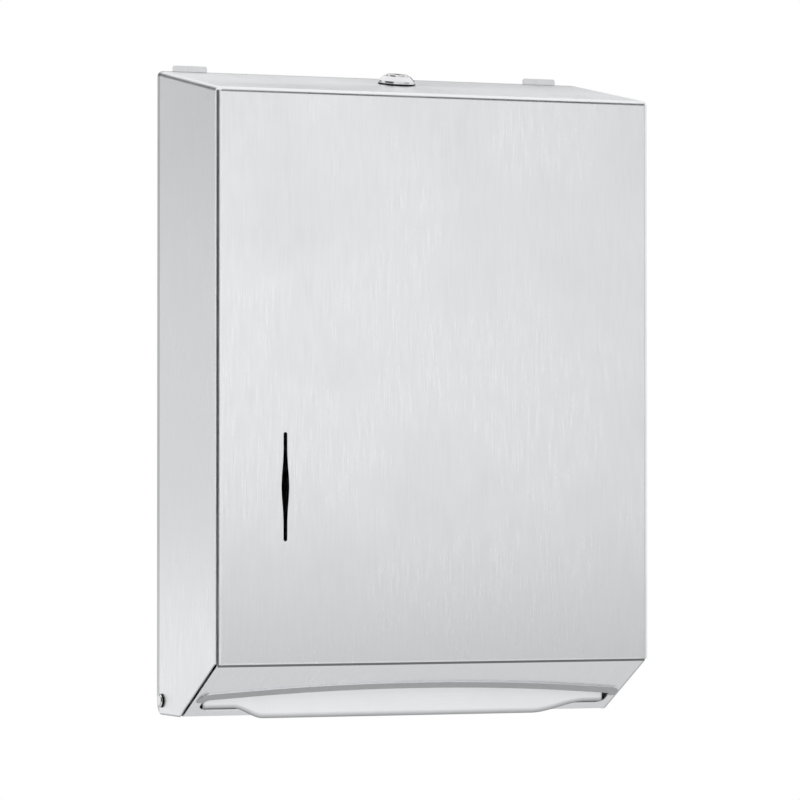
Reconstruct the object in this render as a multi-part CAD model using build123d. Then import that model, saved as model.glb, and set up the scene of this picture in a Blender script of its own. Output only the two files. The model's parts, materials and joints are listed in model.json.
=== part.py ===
"""Wall-mounted dispenser for folded paper towels, one solid per named piece.

Millimetres. Front faces -Y, up is +Z, the wall is the plane y = 0. The origin
is the centre of the four wall holes. Heights are counted from the lower edge
of the dispenser and turned into Z by the function up().
"""
import math
import os

from build123d import *

# Overall form
width = 279.0
height = 388.5          # lower edge to the rear edge of the sloped top
depth = 105.0           # wall to the front face
top_fall = 18.0         # the sloped top falls this much towards the front
front_foot = 33.0       # height of the front face's lower edge
floor_depth = 45.0      # wall to the lower edge of the sloped tray front
sheet = 1.0             # steel sheet
bend = 3.6              # outer radius of the cover's bends
inner_bend = 1.0        # inner radius of the cabinet's bends
slip = 0.1              # clearance between pieces that are fastened together
touch_gap = 0.3         # clearance between a loose towel and what holds it
overrun = 5.0           # cutting shapes reach this far past what they cut
match = 0.01            # edges within this distance count as lying on a face

# Wall fixing
hole_inset = 44.5       # wall holes from the cover's sides
hole_drop = 48.5        # upper wall holes below the rear top edge
hole_low = 120.0        # height of the lower wall holes
wall_hole_radius = 3.0
panel_drop = 6.0        # back panel below the rear top edge
tab_width = 22.0
tab_inset = 23.6        # middle of a tab from the cover's side
tab_shift = -2.5        # both tabs sit this far to the left of even spacing
tab_rise = 3.4          # tabs above the rear top edge
tab_thickness = 0.8
tab_round = 1.5

# Cover
cover_back_gap = 0.4    # back panel to the cover's rear edges
cover_hem = 10.0
hem_gap = 0.2
side_lift = 2.8         # sloped ends of the cover's sides above the tray's slope
top_flange = 10.0       # downturned rear edge of the cover's top

# Cover hinge
pivot_height = 8.5
hinge_gap = 2.0         # cover side to cabinet side
shoulder_radius = 2.5
running_clearance = 0.05
tenon_radius = 2.0
rivet_head_radius = 4.2
rivet_head_rise = 1.8
rivet_round = 1.3
rivet_tail_radius = 3.5
rivet_tail_rise = 1.2
rivet_play = 0.15       # rivet head to cover side
bush_radius = 3.5
bush_flange_radius = 5.5
bush_flange = 0.8

# Cabinet
wall_setback = 18.0     # front edge of the side walls behind the front face
wall_drop = 29.0        # rear top of the side walls below the rear top edge
flange_width = 16.0
edge_hem = 8.0
tray_end_gap = 0.7      # tray ends to the cover's sides
tray_recess = 0.3       # sloped tray front behind the cover's lower edge
tray_floor = 0.5        # height of the tray's underside
tray_flange = 12.0      # upturned front flange behind the cover's hem
tray_rear_flange = 12.0
seat_gap = 0.3          # lower edge of the side walls over the tray
hem_clearance = 0.5     # cover hem to tray flange

# Dispensing mouth, measured along the slope of the tray
lip_strip = 8.9         # sheet below the mouth
mouth_height = 25.6     # lip to the crown of the arch
mouth_end_height = 13.6
mouth_corner = 5.0
crown_half = 56.0       # half the width of the arch's level middle, before rounding
crown_radius = 680.0
band_width = 7.6        # flat folded edge over the mouth
band_end_width = 4.0
band_end_gap = 1.5      # folded edge to the tray's ends
band_end_drop = 3.0     # ends of the folded edge below the arch's ends
band_corner = 8.0
band_round = 0.4
lip_radius = 1.2        # rolled edge under the mouth

# Towels
towel_side_gap = 7.0    # towels to the side walls
stack_rear = 4.5        # wall to the rear of the stack
stack_front_gap = 20.0  # front of the stack to the front face
stack_height = 66.0
stack_round = 3.0
shelf_height = 24.0
shelf_setback = 4.0     # shelf front behind the lower edge of the slope
shelf_upstand = 14.0
shelf_lip = 8.0
shelf_end_gap = 3.5
towel_thickness = 2.0
towel_sag = 0.8         # the leading towel hangs this far below the lower edge
sag_left_inset = 27.0   # ends of the sag from the towel's ends
sag_right_inset = 27.5
sag_run = 12.0          # half the length of the sag's sloping ends

# Refill slot in the front
slot_inset = 43.0       # middle of the slot from the cover's left side
slot_centre_height = 137.0
slot_length = 64.0
slot_end_width = 2.4
slot_neck_width = 2.8   # a quarter of the length from each end
slot_middle_width = 4.9

# Lock on the sloped top, measured along its own axis from the cover's surface
lock_back = 42.0        # wall to the lock's axis
barrel_radius = 8.0
barrel_length = 21.0
ring_radius = 11.5
ring_rise = 1.2
ring_round = 0.6
head_radius = 11.0
head_rise = 5.2
head_chamfer = 2.8
plug_radius = 6.0
plug_head_radius = 6.8
plug_rise = 6.2
plug_round = 0.6
square_side = 7.0
keyway_width = 2.0
keyway_length = 8.0
keyway_depth = 23.4
wafer_count = 5
wafer_pitch = 3.0
wafer_first = 4.0       # depth of the first wafer below the surface
wafer_thickness = 0.7
wafer_width = 5.0
wafer_bridge = 0.5      # wafer metal beyond each end of the keyway
washer_thickness = 0.8
tooth_count = 12
tooth_gap = 2.0
nut_flats = 22.0
nut_thickness = 4.0
stop_thickness = 1.0
stop_tab_width = 3.0
stop_tab_gap = 0.2      # stop tab inside the barrel's radius
stop_turn = 90.0
stop_margin = 2.0       # degrees of free turn past each end of the lock's turn
cam_thickness = 2.0
cam_width = 11.0
cam_hook = 8.6
hook_to_wall = 10.0     # tip of the locked cam's hook to the wall
screw_radius = 2.0
screw_length = 6.0
screw_head_radius = 4.0
screw_head = 2.4
screw_slot = 1.2
cam_washer_rim = 1.0    # cam washer beyond the screw's head

# Keeper behind the cam's hook
keeper_sheet = 1.5
keeper_half = 14.0
keeper_lip_half = 6.0
keeper_play = 2.0       # cam hook to keeper lip when locked
keeper_over_cam = 1.9   # keeper lip above the cam's arm
keeper_over_hook = 1.8
keeper_drop = 45.0      # foot of the keeper below the rear top edge

hole_centre_height = (hole_low + height - hole_drop) / 2


def up(above_lower_edge):
    """Z of a height counted from the dispenser's lower edge."""
    return above_lower_edge - hole_centre_height


half_width = width / 2
front_top = height - top_fall
slope = top_fall / depth
slope_angle = math.atan(slope)
panel_face_y = -sheet
wall_gap = sheet + cover_back_gap
pivot_y = -(wall_gap + pivot_height)
pivot_z = up(pivot_height)
side_inner_x = half_width - sheet
wall_outer_x = side_inner_x - hinge_gap
wall_inner_x = wall_outer_x - sheet


def top_z(y):
    """Z of the cover's sloped top surface at a distance y from the wall."""
    return up(height) + slope * y


def bent_sheet(points, radius, thickness, length, side):
    """Sheet bent along a path in the YZ plane and run along X, centred on x = 0."""
    path = FilletPolyline(*points, radius=radius)
    outline = make_face(offset(path, amount=thickness, side=side))
    return extrude(Plane.YZ * outline, amount=length / 2, both=True)


def side_prism(points, half_length):
    """Prism along X from an outline in the YZ plane, centred on x = 0."""
    outline = Plane.YZ * Polygon(*points, align=None)
    return extrude(outline, amount=half_length, both=True)


def block(x_one, x_two, y_one, y_two, z_one, z_two):
    """Box between two limits on each axis, given in either order."""
    centre = ((x_one + x_two) / 2, (y_one + y_two) / 2, (z_one + z_two) / 2)
    return Pos(*centre) * Box(abs(x_two - x_one), abs(y_two - y_one), abs(z_two - z_one))


def disc(plane, radius, low, high):
    """Cylinder along a plane's normal between two heights above the plane."""
    middle = Pos(0, 0, (low + high) / 2)
    return plane * middle * Cylinder(radius, high - low)


def crosswise_disc(radius, x_low, x_high):
    """Cylinder along X on the hinge line between two x values."""
    plane = Plane(origin=(0, pivot_y, pivot_z), x_dir=(0, 1, 0), z_dir=(1, 0, 0))
    return disc(plane, radius, x_low, x_high)


def is_outer_bend(edge, front_y, surface_z):
    """True for the edges where the front, the top and the sides meet."""
    middle = edge.center()
    on_front = abs(middle.Y - front_y) < match
    on_top = abs(middle.Z - surface_z(middle.Y)) < match
    across = abs(edge.tangent_at(0.5).X) > 0.5
    return (on_front and on_top) if across else (on_front or on_top)


# Cover: front, top and sides bent from one sheet
rise_per_y = front_foot / (depth - floor_depth)
cover_outline = [
    (-wall_gap, top_z(-wall_gap)),
    (-depth, up(front_top)),
    (-depth, up(front_foot)),
    (bend - depth, up(front_foot + side_lift - bend * rise_per_y)),
    (side_lift / rise_per_y - floor_depth, up(0)),
    (-wall_gap, up(0)),
]
cover_outer = side_prism(cover_outline, half_width)
low_rear_edges = cover_outer.edges().filter_by(Axis.X).sort_by(
    lambda edge: math.hypot(edge.center().Y + wall_gap, edge.center().Z - up(0))
)
cover_outer = fillet(low_rear_edges[0], pivot_height)
cover_outer = fillet(
    [e for e in cover_outer.edges() if is_outer_bend(e, -depth, top_z)], bend
)


def inner_top_z(y):
    """Z of the underside of the cover's top."""
    return top_z(y) - sheet / math.cos(slope_angle)


inside_front_y = sheet - depth
cover_inner = side_prism(
    [
        (overrun, inner_top_z(overrun)),
        (inside_front_y, inner_top_z(inside_front_y)),
        (inside_front_y, up(-overrun)),
        (overrun, up(-overrun)),
    ],
    side_inner_x,
)
cover_inner = fillet(
    [e for e in cover_inner.edges() if is_outer_bend(e, inside_front_y, inner_top_z)],
    bend - sheet,
)
hem_inner_y = inside_front_y + hem_gap + sheet
hem_half = side_inner_x - bend
hem_radius = (depth + hem_inner_y) / 2
hem_axis_z = up(front_foot) + hem_radius
front_hem = block(
    -hem_half,
    hem_half,
    inside_front_y - sheet / 2,
    hem_inner_y,
    hem_axis_z,
    up(front_foot + cover_hem),
)
hem_clearing = block(
    -hem_half, hem_half, -depth - overrun, hem_inner_y, up(front_foot) - overrun, hem_axis_z
)
hem_fold = Pos(0, hem_inner_y - hem_radius, hem_axis_z) * Rot(0, 90, 0) * (
    Cylinder(hem_radius, 2 * hem_half)
)
rear_turn = block(
    -(wall_inner_x - bend),
    wall_inner_x - bend,
    -(wall_gap + sheet),
    -wall_gap,
    inner_top_z(-wall_gap) - top_flange,
    inner_top_z(-wall_gap - sheet) + sheet / 2,
)

half_slot = slot_length / 2
end_radius = slot_end_width / 2
straight = half_slot - end_radius
slot_right = Spline(
    (end_radius, -straight),
    (slot_neck_width / 2, -half_slot / 2),
    (slot_middle_width / 2, 0),
    (slot_neck_width / 2, half_slot / 2),
    (end_radius, straight),
    tangents=[(0, 1), (0, 1)],
)
slot_left = mirror(slot_right, about=Plane.YZ)
slot_upper = ThreePointArc((end_radius, straight), (0, half_slot), (-end_radius, straight))
slot_lower = mirror(slot_upper, about=Plane.XZ)
slot_face = make_face(Curve() + [slot_right, slot_upper, slot_left, slot_lower])
slot_plane = Plane(
    origin=(slot_inset - half_width, -depth, up(slot_centre_height)),
    x_dir=(1, 0, 0),
    z_dir=(0, -1, 0),
)
refill_slot = extrude(slot_plane * slot_face, amount=2 * sheet, both=True)

lock_plane = Plane(
    origin=(0, -lock_back, top_z(-lock_back)),
    x_dir=(1, 0, 0),
    z_dir=(0, -math.sin(slope_angle), math.cos(slope_angle)),
)
lock_hole = disc(lock_plane, barrel_radius + slip, -2 * sheet, 2 * sheet)
bush_hole = crosswise_disc(bush_radius + running_clearance, -width, width)
cover_shell = cover_outer - cover_inner - hem_clearing + front_hem + hem_fold + rear_turn
cover_shell = cover_shell - refill_slot - lock_hole - bush_hole

# Tray: front flange, slope, floor and rear flange bent from one sheet
tray_front_y = hem_inner_y + hem_clearance
tilt = math.atan(rise_per_y)
lift = tray_recess / math.cos(tilt)


def tray_slope_z(y):
    """Z of the outer face of the sloped tray front."""
    return up(rise_per_y * (-floor_depth - y) + lift)


tray_floor_y = -floor_depth + (lift - tray_floor) / rise_per_y
tray_half = side_inner_x - tray_end_gap
tray_sheet = bent_sheet(
    [
        (tray_front_y, tray_slope_z(tray_front_y) + tray_flange),
        (tray_front_y, tray_slope_z(tray_front_y)),
        (tray_floor_y, up(tray_floor)),
        (panel_face_y, up(tray_floor)),
        (panel_face_y, up(tray_floor) + tray_rear_flange),
    ],
    inner_bend + sheet,
    sheet,
    2 * tray_half,
    Side.LEFT,
)
for sign in (-1, 1):
    tray_sheet -= block(
        sign * (wall_inner_x - flange_width - slip),
        sign * width,
        panel_face_y - 2 * sheet - inner_bend,
        overrun,
        up(-overrun),
        up(tray_floor + 2 * tray_rear_flange),
    )
slope_plane = Plane(
    origin=(0, tray_front_y, tray_slope_z(tray_front_y)),
    x_dir=(1, 0, 0),
    z_dir=(0, -math.sin(tilt), -math.cos(tilt)),
)
slope_lost = (depth + tray_front_y) / math.cos(tilt)


def slope_point(x, down):
    """Point on the tray's slope plane, counted down from the cover's front edge."""
    return (x, slope_lost - down)


slope_foot = (depth + tray_floor_y) / math.cos(tilt)
mouth_lip = slope_foot - lip_strip
mouth_shoulder = mouth_lip - mouth_end_height
mouth_crown = mouth_lip - mouth_height
band_half = tray_half - band_end_gap
mouth_half = band_half - band_end_width
mouth_outline = Polygon(
    slope_point(crown_half, mouth_crown),
    slope_point(mouth_half, mouth_shoulder),
    slope_point(mouth_half, mouth_lip),
    slope_point(-mouth_half, mouth_lip),
    slope_point(-mouth_half, mouth_shoulder),
    slope_point(-crown_half, mouth_crown),
    align=None,
)
mouth_points = mouth_outline.vertices().sort_by(Axis.Y)
mouth_outline = fillet(mouth_points[-2:], crown_radius)
mouth_corners = mouth_outline.vertices().filter_by(lambda v: abs(v.X) > mouth_half - slip)
mouth_outline = fillet(mouth_corners, mouth_corner)
mouth = extrude(slope_plane * mouth_outline, amount=3 * sheet, both=True)

band_shoulder = mouth_shoulder - band_width
band_outline = Polygon(
    slope_point(crown_half, mouth_crown - band_width),
    slope_point(band_half, band_shoulder),
    slope_point(band_half, mouth_shoulder + band_end_drop),
    slope_point(-band_half, mouth_shoulder + band_end_drop),
    slope_point(-band_half, band_shoulder),
    slope_point(-crown_half, mouth_crown - band_width),
    align=None,
)
band_points = band_outline.vertices().sort_by(Axis.Y)
band_outline = fillet(band_points[-2:], crown_radius)
band_points = band_outline.vertices().filter_by(lambda v: abs(v.X) > band_half - slip)
band_outline = fillet(band_points.sort_by(Axis.Y)[-2:], band_corner)
band_plane = slope_plane.offset(-sheet / 2)
mouth_band = extrude(
    band_plane * (band_outline - mouth_outline), amount=1.5 * sheet, dir=slope_plane.z_dir
)
band_face = mouth_band.faces().sort_by(Axis(slope_plane.origin, slope_plane.z_dir))[-1]
mouth_band = fillet(band_face.edges(), band_round)
lip_axis = slope_plane.offset(-sheet / 2) * Pos(*slope_point(0, mouth_lip + lip_radius), 0)
rolled_lip = lip_axis * Rot(0, 90, 0) * Cylinder(lip_radius, 2 * (mouth_half - mouth_corner))
towel_tray = tray_sheet - mouth + mouth_band + rolled_lip

# Back panel with the wall holes and the two tabs
panel_top = height - panel_drop
back_panel = block(
    -wall_outer_x, wall_outer_x, panel_face_y, 0, up(tray_floor + sheet), up(panel_top)
)
for sign in (-1, 1):
    tab_x = tab_shift + sign * (half_width - tab_inset)
    back_panel += block(
        tab_x - tab_width / 2,
        tab_x + tab_width / 2,
        -tab_thickness,
        0,
        up(panel_top) - overrun,
        up(height + tab_rise),
    )
tab_tops = back_panel.edges().filter_by(Axis.Y).filter_by(
    lambda e: abs(e.center().Z - up(height + tab_rise)) < slip
)
back_panel = fillet(tab_tops, tab_round)
hole_spacing_across = width - 2 * hole_inset
hole_spacing_up = height - hole_drop - hole_low
for spot in GridLocations(hole_spacing_across, hole_spacing_up, 2, 2):
    back_panel -= Plane.XZ * spot * Cylinder(wall_hole_radius, 4 * sheet)

# Side walls
tray_top = up(tray_floor + sheet)


def wall_foot_z(y):
    """Z of the side wall's lower edge over the tray's slope."""
    return tray_slope_z(y) + (sheet + seat_gap) / math.cos(tilt)


foot_turn_y = -floor_depth - (tray_top + seat_gap - wall_foot_z(-floor_depth)) / rise_per_y
wall_depth = depth - wall_setback
wall_top = height - wall_drop
wall_top_front = wall_top - slope * (wall_depth - sheet)
wall_outline = [
    (panel_face_y, tray_top + seat_gap),
    (foot_turn_y, tray_top + seat_gap),
    (-wall_depth, wall_foot_z(-wall_depth)),
    (-wall_depth, up(wall_top_front)),
    (panel_face_y, up(wall_top)),
]
wall_plate = Plane.YZ * Polygon(*wall_outline, align=None)
wall_middle_x = (wall_inner_x + wall_outer_x) / 2
right_side_wall = Pos(wall_middle_x, 0, 0) * extrude(wall_plate, amount=sheet / 2, both=True)
flange_inner_x = wall_inner_x - flange_width
right_side_wall += block(
    flange_inner_x,
    wall_outer_x - sheet / 2,
    panel_face_y - sheet,
    panel_face_y,
    up(tray_floor + 2 * tray_rear_flange),
    up(wall_top - flange_width),
)
right_side_wall += block(
    flange_inner_x,
    wall_outer_x - sheet / 2,
    -floor_depth + 2 * sheet,
    pivot_y - bush_flange_radius,
    tray_top,
    tray_top + sheet,
)
right_side_wall += block(
    wall_inner_x - sheet - hem_gap,
    wall_outer_x - sheet / 2,
    -wall_depth,
    edge_hem - wall_depth,
    wall_foot_z(-wall_depth) + edge_hem,
    up(wall_top_front) - sheet,
)
right_side_wall -= crosswise_disc(tenon_radius + running_clearance, 0, width)
left_side_wall = mirror(right_side_wall, about=Plane.YZ)

# Shelf behind the mouth
shelf_top = up(shelf_height)
shelf_front_y = shelf_setback - floor_depth
shelf_half = wall_inner_x - flange_width - shelf_end_gap
towel_shelf = bent_sheet(
    [
        (panel_face_y, shelf_top + shelf_upstand),
        (panel_face_y, shelf_top - sheet),
        (shelf_front_y, shelf_top - sheet),
        (shelf_front_y, shelf_top - sheet - shelf_lip),
    ],
    inner_bend,
    sheet,
    2 * shelf_half,
    Side.RIGHT,
)

# Hinge pieces
head_foot_x = half_width + rivet_play
right_hinge_rivet = crosswise_disc(rivet_head_radius, head_foot_x, head_foot_x + rivet_head_rise)
right_hinge_rivet = fillet(right_hinge_rivet.edges().sort_by(Axis.X)[-1], rivet_round)
right_hinge_rivet += crosswise_disc(shoulder_radius, wall_outer_x, head_foot_x)
right_hinge_rivet += crosswise_disc(tenon_radius, wall_inner_x, wall_outer_x)
right_hinge_rivet += crosswise_disc(
    rivet_tail_radius, wall_inner_x - rivet_tail_rise, wall_inner_x
)
left_hinge_rivet = mirror(right_hinge_rivet, about=Plane.YZ)
shoulder_bore = crosswise_disc(shoulder_radius + running_clearance, 0, width)
right_hinge_bush = crosswise_disc(bush_radius, side_inner_x, half_width)
right_hinge_bush += crosswise_disc(bush_flange_radius, side_inner_x - bush_flange, side_inner_x)
right_hinge_bush -= shoulder_bore
left_hinge_bush = mirror(right_hinge_bush, about=Plane.YZ)
right_washer = crosswise_disc(
    bush_flange_radius, wall_outer_x, side_inner_x - bush_flange - slip
)
right_washer -= shoulder_bore
hinge_washers = Compound([right_washer.solid(), mirror(right_washer, about=Plane.YZ).solid()])

# Lock housing and its fixings on the cover
lock_axis = Axis(lock_plane.origin, lock_plane.z_dir)


def outer_rim(piece):
    """Circular edge of a lock piece that lies furthest out along the lock's axis."""
    return piece.edges().filter_by(GeomType.CIRCLE).sort_by(lock_axis)[-1]


def lock_bar(x_size, y_size, low, high):
    """Box on the lock's axis between two heights above the cover's surface."""
    return lock_plane * Pos(0, 0, (low + high) / 2) * Box(x_size, y_size, high - low)


plug_bore = disc(lock_plane, plug_radius + running_clearance, -2 * barrel_length, 2 * plug_rise)
barrel_bore = disc(lock_plane, barrel_radius + slip, -barrel_length, plug_rise)
housing_head = disc(lock_plane, head_radius, ring_rise, head_rise)
housing_head = chamfer(outer_rim(housing_head), head_chamfer)
stop_top = -barrel_length - slip
stop_foot = stop_top - stop_thickness
tab_turn = 2 * math.degrees(math.atan(stop_tab_width / 2 / plug_radius))
stop_start = stop_turn + tab_turn / 2 + stop_margin
stop_arc = 360 - stop_turn - tab_turn - 2 * stop_margin
stop_collar = lock_plane * Pos(0, 0, stop_foot) * Rot(0, 0, stop_start) * (
    Cylinder(
        barrel_radius,
        stop_thickness + slip,
        arc_size=stop_arc,
        align=(Align.NONE, Align.NONE, Align.MIN),
    )
)
stop_clearing = disc(lock_plane, plug_radius + 2 * slip, stop_foot - slip, -barrel_length)
lock_housing = housing_head + disc(lock_plane, barrel_radius, -barrel_length, ring_rise)
lock_housing = lock_housing + stop_collar - stop_clearing - plug_bore
lock_trim_ring = disc(lock_plane, ring_radius, 0, ring_rise)
lock_trim_ring = fillet(outer_rim(lock_trim_ring), ring_round) - barrel_bore
washer_foot = -sheet - washer_thickness
lock_washer = disc(lock_plane, nut_flats / 2, washer_foot, -sheet) - barrel_bore
tooth_spots = PolarLocations(nut_flats / 2, tooth_count)
lock_washer -= [
    lock_plane * Pos(0, 0, washer_foot) * spot * Box(tooth_gap, tooth_gap, 4 * washer_thickness)
    for spot in tooth_spots
]
nut_outline = RegularPolygon(nut_flats / 2, 6, major_radius=False)
nut_seat = lock_plane.offset(washer_foot - slip)
lock_nut = extrude(nut_seat * nut_outline, amount=-nut_thickness) - barrel_bore

# Lock core: plug, wafers, stop, cam and screw
cam_top = stop_foot - slip
cam_foot = cam_top - cam_thickness
square_end = cam_foot + 2 * slip
plug_head = disc(lock_plane, plug_head_radius, head_rise + slip, plug_rise)
plug_head = fillet(outer_rim(plug_head), plug_round)
lock_plug = plug_head + disc(lock_plane, plug_radius, stop_top, head_rise + slip)
lock_plug += lock_bar(square_side, square_side, square_end, stop_top)
lock_plug -= lock_bar(
    keyway_width, keyway_length, plug_rise - keyway_depth, plug_rise + overrun
)
lock_plug -= disc(
    lock_plane, screw_radius + running_clearance, square_end - slip, square_end + screw_length
)
wafer_length = 2 * math.sqrt((plug_radius - slip) ** 2 - (wafer_width / 2) ** 2)
wafer_solids = []
for index in range(wafer_count):
    wafer_z = -wafer_first - index * wafer_pitch
    low = wafer_z - wafer_thickness / 2
    high = wafer_z + wafer_thickness / 2
    lock_plug -= lock_bar(wafer_width + 2 * slip, 3 * plug_radius, low - slip, high + slip)
    window = lock_bar(
        keyway_width + 2 * slip, keyway_length - 2 * wafer_bridge, low - slip, high + slip
    )
    wafer_solids.append((lock_bar(wafer_width, wafer_length, low, high) - window).solid())
lock_wafers = Compound(wafer_solids)
square_hole = lock_bar(square_side + slip, square_side + slip, -3 * barrel_length, 0)
stop_washer = disc(lock_plane, plug_radius, stop_foot, stop_top)
stop_tab_reach = barrel_radius - stop_tab_gap
stop_washer += lock_plane * Pos(stop_tab_reach / 2, 0, (stop_foot + stop_top) / 2) * Box(
    stop_tab_reach, stop_tab_width, stop_thickness
)
stop_washer -= square_hole
cam_setback = (cam_foot + cam_top) / 2 * math.sin(slope_angle)
cam_reach = (lock_back - hook_to_wall + cam_setback) / math.cos(slope_angle)
lock_cam = disc(lock_plane, cam_width / 2, cam_foot, cam_top)
lock_cam += lock_plane * Pos(cam_reach / 2, 0, (cam_foot + cam_top) / 2) * Box(
    cam_reach, cam_width, cam_thickness
)
lock_cam += lock_plane * Pos(cam_reach - cam_thickness / 2, 0, cam_foot + cam_hook / 2) * Box(
    cam_thickness, cam_width, cam_hook
)
lock_cam -= square_hole
washer_top = cam_foot - slip
screw_bore = disc(lock_plane, screw_radius + slip, -3 * barrel_length, 0)
cam_washer = disc(
    lock_plane, screw_head_radius + cam_washer_rim, washer_top - washer_thickness, washer_top
)
cam_washer -= screw_bore
screw_top = washer_top - washer_thickness - slip
cam_screw = disc(lock_plane, screw_head_radius, screw_top - screw_head, screw_top)
cam_screw += disc(lock_plane, screw_radius, screw_top, square_end + screw_length - slip)
cam_screw -= lock_bar(
    screw_slot, 3 * screw_head_radius, screw_top - 2 * screw_head, screw_top - screw_head / 2
)

# Keeper: bent bracket whose lip hangs in front of the cam's hook
hook_inner = cam_reach - cam_thickness
lip_rear = lock_plane.from_local_coords((0, hook_inner - keeper_play, cam_top))
hook_tip = lock_plane.from_local_coords((0, cam_reach, cam_foot + cam_hook))
keeper_top = hook_tip.Z + keeper_over_hook + keeper_sheet
keeper_front_y = lip_rear.Y - keeper_sheet
lock_keeper = bent_sheet(
    [
        (panel_face_y, up(height - keeper_drop)),
        (panel_face_y, keeper_top),
        (keeper_front_y, keeper_top),
        (keeper_front_y, lip_rear.Z + keeper_over_cam),
    ],
    inner_bend + keeper_sheet,
    keeper_sheet,
    2 * keeper_half,
    Side.LEFT,
)
for sign in (-1, 1):
    lock_keeper -= block(
        sign * keeper_lip_half,
        sign * 2 * keeper_half,
        keeper_front_y - slip,
        lip_rear.Y + inner_bend,
        up(height - keeper_drop),
        up(height),
    )

# Towels
stack_foot = shelf_top + towel_thickness + 2 * touch_gap
towel_half = wall_inner_x - towel_side_gap
towel_stack = block(
    -towel_half,
    towel_half,
    stack_front_gap - depth,
    -stack_rear,
    stack_foot,
    stack_foot + stack_height,
)
towel_stack = fillet(towel_stack.edges().filter_by(Axis.X), stack_round)
lip_edge = slope_plane.from_local_coords((*slope_point(0, mouth_lip), 0))
hang_y = lip_edge.Y - touch_gap - lip_radius
lip_line = lip_edge.Z + 2 * lip_radius
towel_low = up(-towel_sag)
leading_towel = bent_sheet(
    [
        (-stack_rear, shelf_top + touch_gap),
        (shelf_front_y - towel_thickness, shelf_top + touch_gap),
        (hang_y, lip_line),
        (hang_y, towel_low),
    ],
    towel_thickness + touch_gap,
    towel_thickness,
    2 * towel_half,
    Side.RIGHT,
)
sag_ends = ((sag_left_inset - towel_half, -1), (towel_half - sag_right_inset, 1))
for edge_x, outward in sag_ends:
    beside_sag = Polygon(
        (edge_x - outward * sag_run, up(-overrun)),
        (edge_x + outward * sag_run, lip_line),
        (outward * width, lip_line),
        (outward * width, up(-overrun)),
        align=None,
    )
    leading_towel -= extrude(Plane.XZ * beside_sag, amount=depth, both=True)

nodes = {
    "back_panel": back_panel,
    "left_side_wall": left_side_wall,
    "right_side_wall": right_side_wall,
    "towel_tray": towel_tray,
    "towel_shelf": towel_shelf,
    "lock_keeper": lock_keeper,
    "left_hinge_rivet": left_hinge_rivet,
    "right_hinge_rivet": right_hinge_rivet,
    "hinge_washers": hinge_washers,
    "towel_stack": towel_stack,
    "leading_towel": leading_towel,
    "cover_shell": cover_shell,
    "left_hinge_bush": left_hinge_bush,
    "right_hinge_bush": right_hinge_bush,
    "lock_housing": lock_housing,
    "lock_trim_ring": lock_trim_ring,
    "lock_washer": lock_washer,
    "lock_nut": lock_nut,
    "lock_plug": lock_plug,
    "lock_wafers": lock_wafers,
    "stop_washer": stop_washer,
    "lock_cam": lock_cam,
    "cam_washer": cam_washer,
    "cam_screw": cam_screw,
}
os.makedirs("parts", exist_ok=True)
for name, piece in nodes.items():
    export_step(piece, f"parts/{name}.step")
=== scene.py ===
"""Looks of a wall-mounted dispenser for folded paper towels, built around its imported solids.

Metres. Front faces -Y, up is +Z, the wall is the plane y = 0 and the origin is the
centre of the four wall holes. Every piece is modelled where it belongs, so its object
stays at the origin, and rides on one of the dispenser's bodies.
"""
from __future__ import annotations

import json
import logging
import math
from collections.abc import Callable
from dataclasses import dataclass, field
from enum import Enum

import bmesh
import bpy
from mathutils import Matrix, Vector


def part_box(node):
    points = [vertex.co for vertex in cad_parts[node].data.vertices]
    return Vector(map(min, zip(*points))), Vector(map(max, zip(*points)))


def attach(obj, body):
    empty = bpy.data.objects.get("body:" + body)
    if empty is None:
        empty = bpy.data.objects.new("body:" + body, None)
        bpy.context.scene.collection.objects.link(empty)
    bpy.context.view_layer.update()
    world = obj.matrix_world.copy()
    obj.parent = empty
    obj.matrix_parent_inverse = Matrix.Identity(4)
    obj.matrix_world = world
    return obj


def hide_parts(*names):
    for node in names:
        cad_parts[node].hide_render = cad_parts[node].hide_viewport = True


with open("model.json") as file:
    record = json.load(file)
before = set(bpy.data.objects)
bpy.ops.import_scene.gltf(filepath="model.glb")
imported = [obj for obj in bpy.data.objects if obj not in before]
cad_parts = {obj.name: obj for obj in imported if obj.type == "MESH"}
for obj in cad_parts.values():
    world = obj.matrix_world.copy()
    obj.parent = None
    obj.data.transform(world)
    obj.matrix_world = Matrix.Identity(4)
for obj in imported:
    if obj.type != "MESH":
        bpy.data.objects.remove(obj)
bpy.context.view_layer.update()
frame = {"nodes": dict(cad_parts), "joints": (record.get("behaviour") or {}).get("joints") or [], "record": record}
LOG = logging.getLogger("towel_dispenser")
LOCK = next(joint for joint in frame["joints"] if joint["name"] == "lock_turn")
LOCK_SEAT = Vector(LOCK["pos_m"])
LOCK_AXIS = Vector(LOCK["axis"]).normalized()

MM = 0.001
TINY = 1e-9
UNIT = (0.0, 1.0)
WHITE = (1.0, 1.0, 1.0, 1.0)
ACROSS = Vector((1.0, 0.0, 0.0))
INWARD = Vector((0.0, 1.0, 0.0))
UP = Vector((0.0, 0.0, 1.0))
PAINTED_SHADE = "seam_shade"
PAINTED_FOLD_SHADE = "painted_fold_shade"
PAPER_MAP = "paper"
FACING = "facing"

Span = tuple[float, float]
Triple = tuple[float, float, float]
Socket = bpy.types.NodeSocket
Feed = Socket | float | bool | str | tuple[float, ...]
Feeds = dict[str | int, Feed]
Shade = Callable[[bmesh.types.BMFace], float]
Plane = tuple[Vector, Vector]


class Body(Enum):
    """The bodies that the dressed pieces ride on."""

    CABINET = "cabinet"
    COVER = "cover"


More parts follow.
